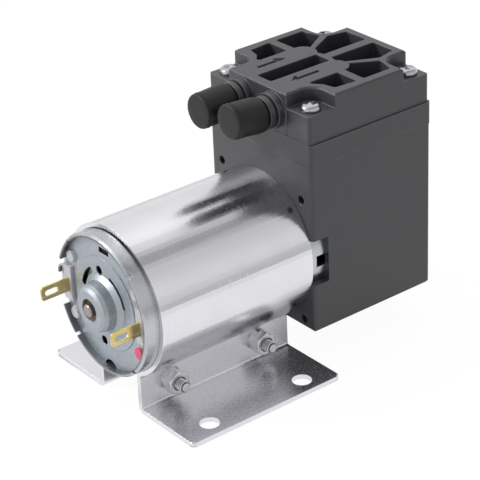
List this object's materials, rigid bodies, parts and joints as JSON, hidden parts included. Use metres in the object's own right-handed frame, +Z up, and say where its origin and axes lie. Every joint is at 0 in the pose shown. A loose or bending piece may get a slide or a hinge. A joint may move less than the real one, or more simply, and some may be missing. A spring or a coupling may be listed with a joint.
{
  "type": "diaphragm vacuum pump",
  "caption": "Small diaphragm vacuum pump: a brushed can motor held in a footed clamp bracket drives a black pump head with two capped hose ports.",
  "frame": {"origin": "middle of the four foot holes, on the plane that the feet stand on", "axes": "+Z up from the feet; +Y along the motor shaft towards the pump head; +X to the side that the clamp nuts are on"},
  "size_m": [0.056, 0.0942, 0.0692],
  "materials": {
    "sheet_steel": "satin rolled sheet",
    "bright_steel": "bright plated steel",
    "plain_steel": "plain turned steel",
    "can_steel": "plated deep drawn steel",
    "zinc_plate": "blue grey plated zinc",
    "white_plastic": "translucent white moulding",
    "brass": "bright brass sheet",
    "bronze": "oiled sintered bronze",
    "carbon": "pressed carbon",
    "ferrite": "ceramic magnet",
    "lamination": "stacked electrical sheet",
    "copper": "enamelled copper wire",
    "black_plastic": "fine moulded black",
    "black_rubber": "matt moulded rubber",
    "aluminium": "turned aluminium"
  },
  "bodies": {
    "pump_body": {"clamp_bracket": "sheet_steel", "clamp_bolts": "plain_steel", "clamp_washers": "plain_steel", "clamp_nuts": "plain_steel", "motor_can": "can_steel", "motor_end_plate": "zinc_plate", "brush_holder": "white_plastic", "terminals": "brass", "carbon_brushes": "carbon", "brush_arms": "brass", "magnets": "ferrite", "magnet_springs": "plain_steel", "rear_bush": "bronze", "front_bush": "bronze", "motor_screws": "plain_steel", "crankcase": "black_plastic", "rear_cover": "black_plastic", "rear_cover_screws": "bright_steel", "diaphragm": "black_rubber", "valve_plate": "black_plastic", "cover_seal": "black_rubber", "inlet_valve": "black_rubber", "outlet_valve": "black_rubber", "top_cover": "black_plastic", "cover_screws": "bright_steel"},
    "rotor": {"motor_shaft": "plain_steel", "armature_core": "lamination", "windings": "copper", "commutator": "copper", "eccentric": "aluminium", "set_screw": "plain_steel", "bearing_inner_ring": "plain_steel"},
    "rod": {"connecting_rod": "black_plastic", "bearing_outer_ring": "plain_steel", "bearing_balls": "bright_steel", "clamp_plate": "aluminium", "diaphragm_screw": "plain_steel"},
    "inlet_cap": {"inlet_cap": "black_rubber"},
    "outlet_cap": {"outlet_cap": "black_rubber"}
  },
  "joints": [
    {"name": "shaft_spin", "type": "hinge", "parent": "pump_body", "child": "rotor", "pos_m": [0, 0, 0.0273], "axis": [0, 1, 0], "continuous": true},
    {"name": "crank_pin", "type": "hinge", "parent": "rotor", "child": "rod", "pos_m": [0, 0.041, 0.0258], "axis": [0, 1, 0], "continuous": true, "deforming": ["diaphragm"]},
    {"name": "inlet_cap_pull", "type": "slide", "parent": "pump_body", "child": "inlet_cap", "axis": [0, -1, 0], "range_m": [0, 0.02]},
    {"name": "outlet_cap_pull", "type": "slide", "parent": "pump_body", "child": "outlet_cap", "axis": [0, -1, 0], "range_m": [0, 0.02]}
  ],
  "couplings": [
    {"joint": "crank_pin", "follows": "shaft_spin", "ratio": -1}
  ]
}
